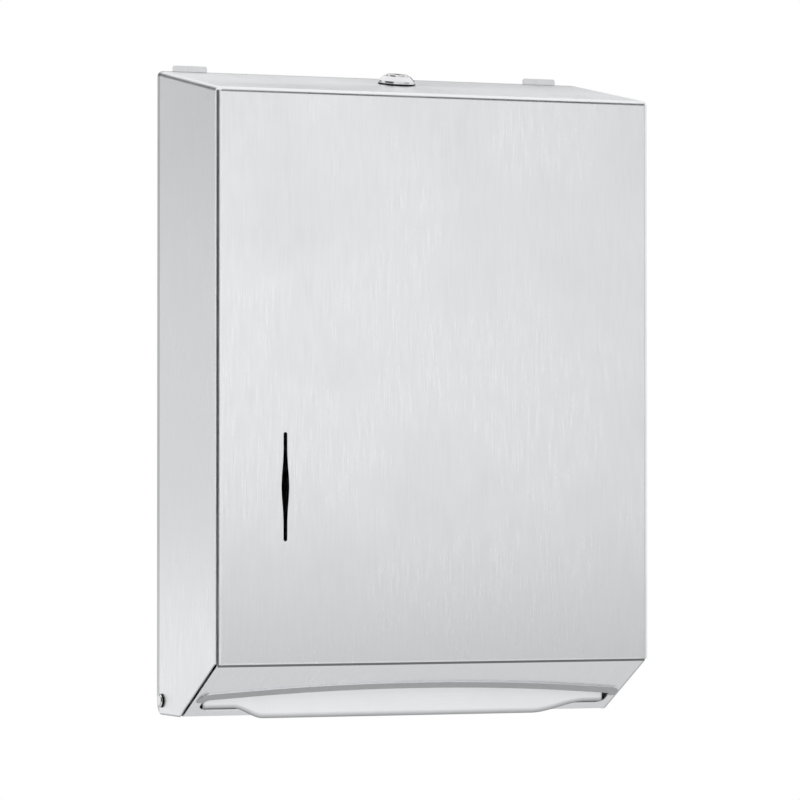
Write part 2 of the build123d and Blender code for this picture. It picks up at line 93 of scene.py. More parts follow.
class Slot(Enum):
    """The record's material slots."""

    COVER_STEEL = "cover_steel"
    CABINET_STEEL = "cabinet_steel"
    LOCK_CHROME = "lock_chrome"
    LOCK_ZINC = "lock_zinc"
    WAFER_BRASS = "wafer_brass"
    RIVET_STEEL = "rivet_steel"
    BUSH_PLASTIC = "bush_plastic"
    TOWEL_PAPER = "towel_paper"


class Ray(Enum):
    """Kinds of ray that see the white surroundings at full strength."""

    CAMERA = "Is Camera Ray"
    GLOSSY = "Is Glossy Ray"
    TRANSMISSION = "Is Transmission Ray"


class NodeSheet:
    """A node tree with short ways to add and join its nodes."""

    def __init__(self, tree: bpy.types.NodeTree) -> None:
        """Keep the tree that the nodes go into."""
        self.tree = tree

    @staticmethod
    def find(sockets: bpy.types.bpy_prop_collection, label: str | int) -> Socket:
        """Look up a socket.

        Args:
            sockets: A node's inputs or outputs.
            label: The socket's identifier, or else its name or number.

        Returns:
            The socket.
        """
        for socket in sockets:
            if socket.identifier == label:
                return socket
        return sockets[label]

    def fill(self, node: bpy.types.Node, feeds: Feeds) -> None:
        """Link inputs of a node, or set their own values.

        Args:
            node: The node.
            feeds: An output socket or a plain value for each input.
        """
        for label, value in feeds.items():
            target = self.find(node.inputs, label)
            if isinstance(value, Socket):
                self.tree.links.new(value, target)
            else:
                target.default_value = value

    def add(self, kind: str, feeds: Feeds | None = None, **settings: object) -> bpy.types.Node:
        """Add a node.

        Args:
            kind: The node's type name.
            feeds: What goes into its inputs.
            settings: Properties of the node.

        Returns:
            The new node.
        """
        node = self.tree.nodes.new(kind)
        for name, value in settings.items():
            setattr(node, name, value)
        self.fill(node, feeds or {})
        return node

    def put(
        self, kind: str, feeds: Feeds | None = None, out: str | int = 0, **settings: object
    ) -> Socket:
        """Add a node, as add does, and return one of its outputs."""
        return self.find(self.add(kind, feeds, **settings).outputs, out)

    def math(self, operation: str, first: Feed, second: Feed = 0.0) -> Socket:
        """Combine two values by one of the Math node's operations."""
        return self.put("ShaderNodeMath", {0: first, 1: second}, operation=operation)

    def noise(self, spot: Socket, scale: Feed, detail: float) -> Socket:
        """Noise at a spot, with a number of finer layers."""
        return self.put("ShaderNodeTexNoise", {"Vector": spot, "Scale": scale, "Detail": detail})

    def remap(self, value: Socket, source: Span = UNIT, target: Span = UNIT) -> Socket:
        """Stretch a value from one range to another, clamped."""
        labels = ("Value", "From Min", "From Max", "To Min", "To Max")
        return self.put("ShaderNodeMapRange", dict(zip(labels, (value, *source, *target))))

    def mix_colour(self, share: Socket, first: Feed, second: Feed) -> Socket:
        """Mix two colours by the share of the second one."""
        feeds = {"Factor_Float": share, "A_Color": first, "B_Color": second}
        return self.put("ShaderNodeMix", feeds, "Result_Color", data_type="RGBA")

    def bump(self, height: Socket, depth: float, normal: Socket | None = None) -> Socket:
        """Turn a height from 0 to 1 into a normal, on top of another normal if there is one."""
        base = {} if normal is None else {"Normal": normal}
        return self.put("ShaderNodeBump", {"Distance": depth, "Height": height, **base})


class NodeGroup(NodeSheet):
    """A node group with named inputs, which given holds."""

    def __init__(
        self, name: str, kind: str, inputs: dict[str, str], outputs: dict[str, str]
    ) -> None:
        """Open the group.

        Args:
            name: The group's name.
            kind: The node tree's type name.
            inputs: The inputs' names, each with the kind of its socket, such as Float.
            outputs: The outputs' names, in the same way.
        """
        super().__init__(bpy.data.node_groups.new(name, kind))
        for in_out, labels in (("INPUT", inputs), ("OUTPUT", outputs)):
            for label, socket in labels.items():
                self.tree.interface.new_socket(
                    name=label, in_out=in_out, socket_type=f"NodeSocket{socket}"
                )
        self.given = self.add("NodeGroupInput").outputs

    def close(self, feeds: Feeds) -> bpy.types.NodeTree:
        """Join the group's outputs and return its tree."""
        self.add("NodeGroupOutput", feeds)
        return self.tree


@dataclass
class ShaderGroups:
    """Effects that several finishes share, each built once as a node group."""

    streak_detail: float = 3.0
    streak_range: Span = (0.3, 0.7)
    side_range: Span = (0.55, 0.85)
    wave_detail: float = 1.0
    cloud_detail: float = 4.0
    cloud_range: Span = (0.45, 0.75)
    grain: bpy.types.NodeTree = field(init=False)
    wave: bpy.types.NodeTree = field(init=False)
    marks: bpy.types.NodeTree = field(init=False)

    def __post_init__(self) -> None:
        """Build the groups."""
        self.grain = self._build_grain()
        self.wave = self._build_wave()
        self.marks = self._build_marks()

    @staticmethod
    def _open(name: str, inputs: tuple[str, ...], output: str) -> NodeGroup:
        """Open a group of plain values with one output."""
        return NodeGroup(name, "ShaderNodeTree", dict.fromkeys(inputs, "Float"), {output: "Float"})

    def _build_grain(self) -> bpy.types.NodeTree:
        """Straight brushing that follows each bent face of the sheet.

        Returns:
            The group's tree.
        """
        group = self._open("brushed_grain", ("Across", "Along"), "Streak")
        place = group.add("ShaderNodeTexCoord").outputs
        across, along = group.given["Across"], group.given["Along"]
        streaks = []
        for rates in ((across, along, along), (along, across, along)):
            stretch = group.put("ShaderNodeCombineXYZ", dict(enumerate(rates)))
            feeds = {0: place["Object"], 1: stretch}
            spot = group.put("ShaderNodeVectorMath", feeds, operation="MULTIPLY")
            streaks.append(group.noise(spot, 1.0, self.streak_detail))
        facing = group.put("ShaderNodeSeparateXYZ", {0: place["Normal"]}, "X")
        sideways = group.remap(group.math("ABSOLUTE", facing), self.side_range)
        picked = {"Factor_Float": sideways, "A_Float": streaks[0], "B_Float": streaks[1]}
        streak = group.put("ShaderNodeMix", picked, "Result_Float", data_type="FLOAT")
        return group.close({"Streak": group.remap(streak, self.streak_range)})

    def _build_wave(self) -> bpy.types.NodeTree:
        """Slow unevenness of a rolled and bent sheet.

        Returns:
            The group's tree.
        """
        group = self._open("sheet_wave", ("Scale",), "Height")
        place = group.put("ShaderNodeTexCoord", out="Object")
        return group.close({"Height": group.noise(place, group.given["Scale"], self.wave_detail)})

    def _build_marks(self) -> bpy.types.NodeTree:
        """Faint cloudy traces of wiping and handling.

        Returns:
            The group's tree.
        """
        group = self._open("handling_marks", ("Scale",), "Mask")
        place = group.put("ShaderNodeTexCoord", out="Object")
        cloud = group.noise(place, group.given["Scale"], self.cloud_detail)
        return group.close({"Mask": group.remap(cloud, self.cloud_range)})


class Surface(NodeSheet):
    """A new material's nodes, with its surface shader and the shared effects."""

    def __init__(self, name: str, groups: ShaderGroups | None) -> None:
        """Start the material.

        Args:
            name: The material's name.
            groups: The shared effects, if the finish uses any.
        """
        self.material = bpy.data.materials.new(name)
        self.material.use_nodes = True
        super().__init__(self.material.node_tree)
        self.shader = next(n for n in self.tree.nodes if n.type == "BSDF_PRINCIPLED")
        self.groups = groups

    def effect(self, tree: bpy.types.NodeTree, **values: float) -> Socket:
        """Place a shared effect with its own values and return what it puts out."""
        return self.put("ShaderNodeGroup", values, node_tree=tree)

    def attribute(self, name: str) -> Socket:
        """A value that the piece's mesh carries."""
        return self.put("ShaderNodeAttribute", out="Fac", attribute_name=name)


@dataclass(frozen=True)
class Finish:
    """What every finish has: a name, a colour and a roughness."""

    name: str
    colour: Triple
    roughness: float

    def material(self, groups: ShaderGroups | None = None) -> bpy.types.Material:
        """Build the material.

        Args:
            groups: The shared effects, if the finish uses any.

        Returns:
            The finished material.
        """
        surface = Surface(self.name, groups)
        surface.fill(surface.shader, self.coat(surface))
        return surface.material

    def coat(self, surface: Surface) -> Feeds:
        """What goes into the surface shader: here one even colour and roughness."""
        return {"Base Color": self.shade(1.0), "Roughness": self.roughness}

    def shade(self, share: float) -> tuple[float, float, float, float]:
        """The finish's colour, lighter or darker by a factor, as RGBA."""
        red, green, blue = self.colour
        return (red * share, green * share, blue * share, 1.0)


@dataclass(frozen=True)
class MattePaint(Finish):
    """Even paint of the floor and the cards around the dispenser."""

    gloss: float = 0.0

    def coat(self, surface: Surface) -> Feeds:
        """Even colour with little or no gloss."""
        return {**super().coat(surface), "Specular IOR Level": self.gloss}


@dataclass(frozen=True)
class BrushedSteel(Finish):
    """Stainless sheet with straight brushing, slight waves, traces of wiping and painted shade in its marked seams
    and edges.
    """

    across: float = 1500.0
    along: float = 60.0
    contrast: float = 0.017
    grain_depth: float = 0.0005 * MM
    rough_swing: float = 0.12
    wave_scale: float = 5.0
    wave_depth: float = 0.15 * MM
    mark_scale: float = 14.0
    smear: float = 0.06
    stretch: float = 0.4
    seam_shade_share: float = 0.05

    def coat(self, surface: Surface) -> Feeds:
        """Brushed metal with painted shade where the mesh marks seams and edges.

        Args:
            surface: The material to work on.

        Returns:
            What goes into the surface shader.
        """
        groups = surface.groups
        streak = surface.effect(groups.grain, Across=self.across, Along=self.along)
        wave = surface.effect(groups.wave, Scale=self.wave_scale)
        marks = surface.effect(groups.marks, Scale=self.mark_scale)
        tones = (self.shade(1.0 - self.contrast), self.shade(1.0 + self.contrast))
        brushed = surface.mix_colour(streak, *tones)
        # Painted shade: faces that the mesh marks take this near-black colour in place of the brushed one.
        painted_shade = self.shade(self.seam_shade_share)
        swing = (self.roughness * (1.0 + self.rough_swing), self.roughness * (1.0 - self.rough_swing))
        rough = surface.remap(streak, target=swing)
        rolled = surface.bump(wave, self.wave_depth)
        return {
            "Metallic": 1.0,
            "Anisotropic": self.stretch,
            "Tangent": surface.put("ShaderNodeTangent", direction_type="RADIAL", axis="Z"),
            "Base Color": surface.mix_colour(surface.attribute(PAINTED_SHADE), brushed, painted_shade),
            "Roughness": surface.math("ADD", rough, surface.math("MULTIPLY", marks, self.smear)),
            "Normal": surface.bump(streak, self.grain_depth, rolled),
        }


@dataclass(frozen=True)
class MarkedFinish(Finish):
    """Finely textured finish with the marks of wiping and handling."""

    metal: float
    texture_scale: float
    texture_depth: float
    mark_scale: float
    mark_share: float
    mark_roughness: float

    def tint(self, surface: Surface, marks: Socket) -> Socket:
        """Colour of the finish, darker or paler in its marks."""
        return surface.mix_colour(marks, self.shade(1.0), self.shade(self.mark_share))

    def coat(self, surface: Surface) -> Feeds:
        """Texture all over, with another colour and roughness in the marks.

        Args:
            surface: The material to work on.

        Returns:
            What goes into the surface shader.
        """
        marks = surface.effect(surface.groups.marks, Scale=self.mark_scale)
        texture = surface.effect(surface.groups.wave, Scale=self.texture_scale)
        rough = (self.roughness, self.roughness + self.mark_roughness)
        return {
            "Metallic": self.metal,
            "Base Color": self.tint(surface, marks),
            "Roughness": surface.remap(marks, target=rough),
            "Normal": surface.bump(texture, self.texture_depth),
        }


@dataclass(frozen=True)
class PlatedMetal(MarkedFinish):
    """Bright or dull plating with a slight orange peel, duller where it was wiped."""

    metal: float = 1.0
    texture_scale: float = 900.0
    texture_depth: float = 0.004 * MM
    mark_scale: float = 160.0
    mark_share: float = 0.93
    mark_roughness: float = 0.10


@dataclass(frozen=True)
class SeatedMetal(PlatedMetal):
    """Plating with painted shade where the piece sits on the cover.

    The seat is a distance from the origin along an axis, to both sides, and the painted shade reaches outwards
    from it.
    """

    axis: Triple = tuple(ACROSS)
    seat: float = 0.0
    seat_shade_reach: float = 1.0 * MM
    seat_shade_share: float = 0.02

    def tint(self, surface: Surface, marks: Socket) -> Socket:
        """Colour of the plating with painted shade at its seat.

        Args:
            surface: The material to work on.
            marks: Mask of the wiping traces.

        Returns:
            The colour's socket.
        """
        clean = super().tint(surface, marks)
        feeds = {0: surface.put("ShaderNodeTexCoord", out="Object"), 1: self.axis}
        along = surface.put("ShaderNodeVectorMath", feeds, "Value", operation="DOT_PRODUCT")
        outward = surface.math("ABSOLUTE", along)
        # Painted shade: a band just outward of the seat takes a near-black colour, standing for the shadow where
        # the piece meets the cover.
        above = surface.math("GREATER_THAN", outward, self.seat)
        below = surface.math("LESS_THAN", outward, self.seat + self.seat_shade_reach)
        seat_shaded = surface.math("MULTIPLY", above, below)
        return surface.mix_colour(seat_shaded, clean, self.shade(self.seat_shade_share))


@dataclass(frozen=True)
class MouldedPlastic(MarkedFinish):
    """Dull moulded plastic with a fine spark-eroded texture, paler where it is rubbed."""

    metal: float = 0.0
    texture_scale: float = 2500.0
    texture_depth: float = 0.01 * MM
    mark_scale: float = 200.0
    mark_share: float = 1.25
    mark_roughness: float = -0.10


@dataclass(frozen=True)
class TowelPaper(Finish):
    """Soft white paper with fibres, rows of small embossed dimples and painted shade under its lowest fold."""

    dimple_pitch: float = 2.4 * MM
    dimple_depth: float = 0.04 * MM
    dimple_wander: float = 0.15
    dimple_reach: float = 0.45
    dimple_share: float = 0.98
    dimple_polish: float = 0.08
    fibre_scale: float = 1800.0
    fibre_depth: float = 0.03 * MM
    cloud_scale: float = 40.0
    cloud_share: float = 0.965
    fold_shade_share: float = 0.25
    gloss: float = 0.2
    fuzz: float = 0.15

    def coat(self, surface: Surface) -> Feeds:
        """Embossed paper with painted shade along the foot of its lowest fold.

        Args:
            surface: The material to work on.

        Returns:
            What goes into the surface shader.
        """
        rows = {
            "Vector": surface.put("ShaderNodeUVMap", uv_map=PAPER_MAP),
            "Scale": 1.0 / self.dimple_pitch,
            "Randomness": self.dimple_wander,
        }
        dimples = surface.put(
            "ShaderNodeTexVoronoi", rows, "Distance", voronoi_dimensions="2D", feature="F1"
        )
        cup = surface.remap(dimples, (0.0, self.dimple_reach))
        fibres = surface.effect(surface.groups.wave, Scale=self.fibre_scale)
        cloud = surface.effect(surface.groups.marks, Scale=self.cloud_scale)
        clouded = surface.mix_colour(cloud, self.shade(1.0), self.shade(self.cloud_share))
        pressed = surface.mix_colour(cup, self.shade(self.dimple_share), clouded)
        # Painted shade along the foot of the lowest fold, where the mesh marks it.
        painted_shade = self.shade(self.fold_shade_share)
        rough = (self.roughness - self.dimple_polish, self.roughness)
        felt = surface.bump(fibres, self.fibre_depth)
        return {
            "Base Color": surface.mix_colour(surface.attribute(PAINTED_FOLD_SHADE), pressed, painted_shade),
            "Roughness": surface.remap(cup, target=rough),
            "Specular IOR Level": self.gloss,
            "Sheen Weight": self.fuzz,
            "Normal": surface.bump(cup, self.dimple_depth, felt),
        }


class FinishBook:
    """The material of every slot."""

    def __init__(self) -> None:
        """Build all the materials."""
        groups = ShaderGroups()
        finishes = {
            Slot.COVER_STEEL: BrushedSteel("cover_steel_brushed", (0.868, 0.882, 0.898), 0.30),
            Slot.CABINET_STEEL: BrushedSteel("cabinet_steel_satin", (0.84, 0.85, 0.86), 0.36),
            # The lock's ring gets painted shade at its seat on the cover.
            Slot.LOCK_CHROME: SeatedMetal(
                "lock_chrome_bright",
                (0.82, 0.82, 0.84),
                0.07,
                axis=tuple(LOCK_AXIS),
                seat=LOCK_SEAT.dot(LOCK_AXIS),
            ),
            Slot.LOCK_ZINC: PlatedMetal(
                "lock_zinc_dull", (0.56, 0.57, 0.58), 0.30, texture_depth=0.01 * MM
            ),
            Slot.WAFER_BRASS: PlatedMetal("wafer_brass_plain", (0.72, 0.54, 0.24), 0.26),
            # The rivet's shank just outside the cover gets painted shade.
            Slot.RIVET_STEEL: SeatedMetal(
                "rivet_steel_turned",
                (0.78, 0.785, 0.79),
                0.20,
                seat=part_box("cover_shell")[1].x,
                seat_shade_reach=1.1 * MM,
            ),
            Slot.BUSH_PLASTIC: MouldedPlastic("bush_plastic_black", (0.03, 0.03, 0.032), 0.55),
            Slot.TOWEL_PAPER: TowelPaper("towel_paper_white", (0.855, 0.87, 0.883), 0.92),
        }
        self._materials = {slot: finish.material(groups) for slot, finish in finishes.items()}

    def of(self, slot: Slot) -> bpy.types.Material:
        """The material of a slot."""
        return self._materials[slot]


class Piece:
    """A finished mesh object of the dispenser."""

    def __init__(self, name: str, mesh: bpy.types.Mesh) -> None:
        """Link a mesh as an object at the origin.

        Args:
            name: The piece's name.
            mesh: Its mesh, already in place.
        """
        mesh.name = name
        self.thing = bpy.data.objects.new(name, mesh)
        bpy.context.scene.collection.objects.link(self.thing)

    def bake(self) -> None:
        """Turn the live modifiers into a plain mesh and remove them."""
        graph = bpy.context.evaluated_depsgraph_get()
        plain = bpy.data.meshes.new_from_object(self.thing.evaluated_get(graph))
        self.thing.modifiers.clear()
        self.thing.data = plain
        plain.name = self.thing.name

    def dress(self, material: bpy.types.Material) -> None:
        """Give the whole piece one material."""
        self.thing.data.materials.clear()
        self.thing.data.materials.append(material)

    def settle(self, body: Body, slot: Slot, replaced: tuple[str, ...] = ()) -> None:
        """Tie the piece to the frame.

        Args:
            body: The body that it rides on.
            slot: The record's slot that its finish belongs to; not used.
            replaced: Names of the solids that it stands for.
        """
        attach(self.thing, body.value)
        if replaced:
            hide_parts(*replaced)
        faces = len(self.thing.data.polygons)
        LOG.info("%s rides on %s, %d faces", self.thing.name, body.value, faces)


@dataclass
class SheetMetal:
    """Sheet-metal pieces with eased raw edges and true flat faces."""

    finishes: FinishBook
    weld: float = 0.002 * MM
    flat: float = math.radians(0.5)
    sharp: float = math.radians(40)
    ease: float = 0.18 * MM
    ease_steps: int = 2
    ease_profile: float = 0.5
    flat_weight: int = 100

    def build(
        self,
        node: str,
        name: str,
        body: Body,
        slot: Slot,
        shade: Shade | None = None,
        cuts: tuple[Plane, ...] = (),
    ) -> None:
        """Make the dressed piece that stands for a sheet-metal solid.

        Args:
            node: The solid's name.
            name: The new piece's name.
            body: The body that it rides on.
            slot: Its material slot.
            shade: How deep the painted shade of a seam or edge lies on a face, from 0 to 1.
            cuts: A point and a normal of each plane that divides the flat faces.
        """
        work = bmesh.new()
        work.from_mesh(frame["nodes"][node].data)
        bmesh.ops.remove_doubles(work, verts=work.verts, dist=self.weld)
        bmesh.ops.dissolve_limit(work, angle_limit=self.flat, verts=work.verts, edges=work.edges)
        for spot, normal in cuts:
            everything = [*work.verts, *work.edges, *work.faces]
            bmesh.ops.bisect_plane(work, geom=everything, plane_co=spot, plane_no=normal)
        raw = [e for e in work.edges if e.is_manifold and e.calc_face_angle() > self.sharp]
        bmesh.ops.bevel(
            work,
            geom=raw,
            offset=self.ease,
            offset_type="OFFSET",
            segments=self.ease_steps,
            profile=self.ease_profile,
            affect="EDGES",
            clamp_overlap=True,
        )
        work.normal_update()
        # Painted shade: each face carries how deep its painted seam or edge shade is.
        seam = work.faces.layers.float.new(PAINTED_SHADE)
        for face in work.faces:
            face.smooth = True
            face[seam] = shade(face) if shade else 0.0
        mesh = bpy.data.meshes.new(name)
        work.to_mesh(mesh)
        work.free()
        piece = Piece(name, mesh)
        even = piece.thing.modifiers.new("even_shading", "WEIGHTED_NORMAL")
        even.weight = self.flat_weight
        piece.bake()
        piece.dress(self.finishes.of(slot))
        piece.settle(body, slot, (node,))


class GeometryTree(NodeGroup):
    """A Geometry Nodes tree that repeats something and dresses it."""

    def __init__(self, name: str, **inputs: str) -> None:
        """Open the tree.

        Args:
            name: The tree's name.
            inputs: Its own inputs' names, each with the kind of its socket.
        """
        mesh = {"Geometry": "Geometry"}
        material = {"Material": "Material"}
        super().__init__(name, "GeometryNodeTree", {**mesh, **inputs, **material}, mesh)

    def dressed(self, instances: Socket) -> GeometryTree:
        """End the tree: instances become real mesh and get their material.

        Args:
            instances: Socket with the finished geometry.

        Returns:
            This tree.
        """
        real = self.put("GeometryNodeRealizeInstances", {0: instances})
        feeds = {"Geometry": real, "Material": self.given["Material"]}
        self.close({"Geometry": self.put("GeometryNodeSetMaterial", feeds)})
        return self

    def apply(self, piece: Piece, **values: object) -> None:
        """Run the tree on a piece and keep the plain mesh.

        Args:
            piece: The piece whose mesh goes in.
            values: Values of the named inputs.
        """
        modifier = piece.thing.modifiers.new(self.tree.name, "NODES")
        modifier.node_group = self.tree
        for item in self.tree.interface.items_tree:
            if item.in_out == "INPUT" and item.name in values:
                modifier[item.identifier] = values[item.name]
        piece.bake()


class FoldPath:
    """A path across a folded towel in the YZ plane, which can be looked up by length."""

    def __init__(self, points: list[Vector]) -> None:
        """Measure the path.

        Args:
            points: Points (y, z) along the path.
        """
        self.points = points
        self.marks = [0.0]
        for first, second in zip(points, points[1:]):
            self.marks.append(self.marks[-1] + (second - first).length)

    @classmethod
    def rounded(cls, corners: list[Vector], radius: float, steps: int) -> FoldPath:
        """Path of straight runs that arcs join.

        Args:
            corners: Ends (y, z) of the runs.
            radius: Radius of the arcs.
            steps: Steps in each arc.

        Returns:
            The path.
        """
        points = [corners[0]]
        for before, here, after in zip(corners, corners[1:], corners[2:]):
            back = (before - here).normalized()
            on = (after - here).normalized()
            half = back.angle(on) / 2
            reach = radius / math.tan(half)
            centre = here + (back + on).normalized() * (radius / math.sin(half))
            first = here + back * reach - centre
            last = here + on * reach - centre
            turn = first.angle_signed(last)
            for step in range(steps + 1):
                points.append(centre + Matrix.Rotation(-turn * step / steps, 2) @ first)
        return cls([*points, corners[-1]])

    @property
    def length(self) -> float:
        """Length of the whole path."""
        return self.marks[-1]

    def at(self, distance: float) -> tuple[Vector, Vector]:
        """Look up the path.

        Args:
            distance: Length along the path.

        Returns:
            The point and the unit normal on the outer side.
        """
        distance = min(max(distance, 0.0), self.length)
        index = next(i for i, mark in enumerate(self.marks[1:], 1) if distance <= mark + TINY)
        first, second = self.points[index - 1], self.points[index]
        share = (distance - self.marks[index - 1]) / (self.marks[index] - self.marks[index - 1])
        along = (second - first).normalized()
        return first.lerp(second, share), Vector((along.y, -along.x))


@dataclass
class TowelLoad:
    """The stored towels and the one that hangs out of the mouth.

    Each wave of the hanging towel's ripple has a rate across the towel, a lag and a share.
    """

    finishes: FinishBook
    paper: float = 0.14 * MM
    layers: int = 4
    hairpin_steps: int = 4
    spare: float = 1.5 * MM
    # Painted shade at the foot of the paper fades out over this height.
    fold_shade_rise: float = 1.8 * MM

    count: int = 44
    fold_ease: float = 3.13 * MM
    shuffle: float = 0.6 * MM
    twist: float = math.radians(0.12)
    seed: int = 7

    columns: int = 150
    rows: int = 26
    folded: float = 2.0 * MM
    lip_rise: float = 7.4 * MM
    lip_share: float = 0.8
    slope_start: float = 58.0 * MM
    bend_radius: float = 4.0 * MM
    bend_steps: int = 6
    shift: float = 0.2 * MM
    sag_left: float = -101.5 * MM
    sag_left_run: float = 9.5 * MM
    sag_right: float = 101.0 * MM
    sag_right_run: float = 18.0 * MM
    least_hang: float = 0.04
    ripple: float = 0.35 * MM
    ripple_waves: tuple[Triple, ...] = ((46.0, 0.0, 0.5), (107.0, 1.3, 0.3))
    ripple_power: int = 6

    def build(self) -> None:
        """Make the pile and the leading towel."""
        self.build_pile()
        self.build_leading_towel()

    def _hairpin(self, centre: Vector, start: Vector, side: Vector, radius: float) -> list[Vector]:
        """Half turn of paper round a centre, from a start over a side, without its two ends."""
        angles = [math.pi * step / self.hairpin_steps for step in range(1, self.hairpin_steps)]
        return [centre + (start * math.cos(a) + side * math.sin(a)) * radius for a in angles]

    def _folded_section(self, depth: float, pitch: float) -> list[Vector]:
        """Section of one stored towel, folded to and fro.

        Args:
            depth: Front to rear of the folded towel.
            pitch: Thickness of the folded towel.

        Returns:
            Points (y, z) from the first edge to the last.
        """
        gap = pitch / self.layers
        turn = gap / 2
        ends = (-depth / 2 + turn, depth / 2 - turn)
        down = Vector((0.0, -1.0))
        section = []
        for layer in range(self.layers):
            height = gap * (layer + 0.5)
            start, stop = ends if layer % 2 else ends[::-1]
            section += [Vector((start, height)), Vector((stop, height))]
            if layer + 1 < self.layers:
                side = Vector((math.copysign(1.0, stop), 0.0))
                section += self._hairpin(Vector((stop, height + turn)), down, side, turn)
        return section

    def _pile_tree(self) -> GeometryTree:
        """Tree that piles up copies of one folded towel, each a little out of line.

        Returns:
            The tree.
        """
        places = dict.fromkeys(("Foot", "Pitch", "Shuffle", "Twist"), "Vector")
        tree = GeometryTree("towel_pile", Count="Int", **places, Seed="Int")
        given = tree.given
        line = {"Count": given["Count"], "Start Location": given["Foot"], "Offset": given["Pitch"]}
        spots = tree.put("GeometryNodeMeshLine", line, mode="OFFSET")
        loose = {"Geometry": spots, "Offset": self._random_vector(tree, "Shuffle")}
        copies = {
            "Points": tree.put("GeometryNodeSetPosition", loose),
            "Instance": given["Geometry"],
            "Rotation": self._random_vector(tree, "Twist"),
        }
        return tree.dressed(tree.put("GeometryNodeInstanceOnPoints", copies))

    @staticmethod
    def _random_vector(tree: GeometryTree, label: str) -> Socket:
        """Random vector between minus and plus one of a tree's inputs.

        Args:
            tree: The tree.
            label: Name of the input with the largest vector.

        Returns:
            The random vector's socket.
        """
        reach = tree.given[label]
        back = tree.put("ShaderNodeVectorMath", {0: reach, "Scale": -1.0}, operation="SCALE")
        draw = {"Min": back, "Max": reach, "Seed": tree.given["Seed"]}
        return tree.put("FunctionNodeRandomValue", draw, "Value", data_type="FLOAT_VECTOR")

    def _paper_piece(self, name: str, grid: list[list[Vector]]) -> Piece:
        """Piece of paper with its thickness and a UV map in metres.

        Args:
            name: The piece's name.
            grid: Columns of points, each from the first edge to the last.

        Returns:
            The piece.
        """
        work = bmesh.new()
        paper_map = work.loops.layers.uv.new(PAPER_MAP)
        painted_fold_shade = work.verts.layers.float.new(PAINTED_FOLD_SHADE)
        places = {}
        for column in grid:
            run = 0.0
            foot = min(spot.z for spot in column)
            for row, spot in enumerate(column):
                run += (spot - column[row - 1]).length if row else 0.0
                corner = work.verts.new(spot)
                # Painted shade: points near the foot of each column are marked, standing for the shade under the
                # lowest fold.
                corner[painted_fold_shade] = max(0.0, 1.0 - (spot.z - foot) / self.fold_shade_rise)
                places[corner] = (column[0].x, run)
        work.verts.ensure_lookup_table()
        rows = len(grid[0])
        for left in range(len(grid) - 1):
            for row in range(rows - 1):
                low = left * rows + row
                corners = [work.verts[i] for i in (low, low + rows, low + rows + 1, low + 1)]
                face = work.faces.new(corners)
                face.smooth = True
                for loop in face.loops:
                    loop[paper_map].uv = places[loop.vert]
        mesh = bpy.data.meshes.new(name)
        work.to_mesh(mesh)
        work.free()
        piece = Piece(name, mesh)
        solid = piece.thing.modifiers.new("paper", "SOLIDIFY")
        solid.thickness = self.paper
        solid.offset = 0.0
        piece.bake()
        return piece

    def build_pile(self) -> None:
        """Make the pile of stored towels."""
        low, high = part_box("towel_stack")
        width = high.x - low.x + 2 * self.spare
        depth = high.y - low.y - 2 * self.shuffle
        pitch = (high.z - low.z) / self.count
        section = self._folded_section(depth - self.fold_ease, pitch)
        length = FoldPath(section).length
        grid = [[Vector((x, p.x, p.y)) for p in section] for x in (-width / 2, width / 2)]
        piece = self._paper_piece("stored_towels", grid)
        self._pile_tree().apply(
            piece,
            Count=self.count,
            Foot=Vector((0.0, (low.y + high.y) / 2, low.z)),
            Pitch=UP * pitch,
            Shuffle=(ACROSS + INWARD) * self.shuffle,
            Twist=UP * self.twist,
            Seed=self.seed,
            Material=self.finishes.of(Slot.TOWEL_PAPER),
        )
        piece.settle(Body.CABINET, Slot.TOWEL_PAPER, ("towel_stack",))

    def _hang(self, x: float) -> float:
        """How much of its full drop the leading towel has at a place along its width.

        Args:
            x: Place across the dispenser.

        Returns:
            A share from 0, at the lip, to 1, hanging free.
        """
        left = (x - self.sag_left + self.sag_left_run) / (2 * self.sag_left_run)
        right = (self.sag_right + self.sag_right_run - x) / (2 * self.sag_right_run)
        share = min(max(min(left, right), 0.0), 1.0)
        return share * share * (3 - 2 * share)

    def _leading_column(self, x: float, path: FoldPath, lip: float) -> list[Vector]:
        """One column of the leading towel, to and fro through its layers.

        Args:
            x: Place across the dispenser.
            path: Path of the towel's rear face.
            lip: Length along the path at which it reaches the lip.

        Returns:
            Points from the first edge to the last.
        """
        gap = self.folded / self.layers
        turn = gap / 2
        drop = path.length - lip
        wave = sum(math.sin(x * rate + lag) * share for rate, lag, share in self.ripple_waves)
        hang = self.least_hang + (1.0 - self.least_hang) * self._hang(x)
        end = lip + drop * hang - turn
        steps = [i / (self.rows - 1) for i in range(self.rows)]
        line = []
        for layer in reversed(range(self.layers)):
            offset = gap * (layer + 0.5)
            forward = (self.layers - layer) % 2 == 1
            for share in steps if forward else steps[::-1]:
                spot, outward = path.at(turn + share * (end - turn))
                lift = offset + self.ripple * wave * share ** self.ripple_power * turn / self.folded
                line.append(spot + outward * lift)
            if layer:
                spot, outward = path.at(end if forward else turn)
                along = Vector((outward.y, -outward.x)) * (-1 if forward else 1)
                line += self._hairpin(spot + outward * (offset - turn), outward, along, turn)
        return [Vector((x, *spot)) for spot in line]

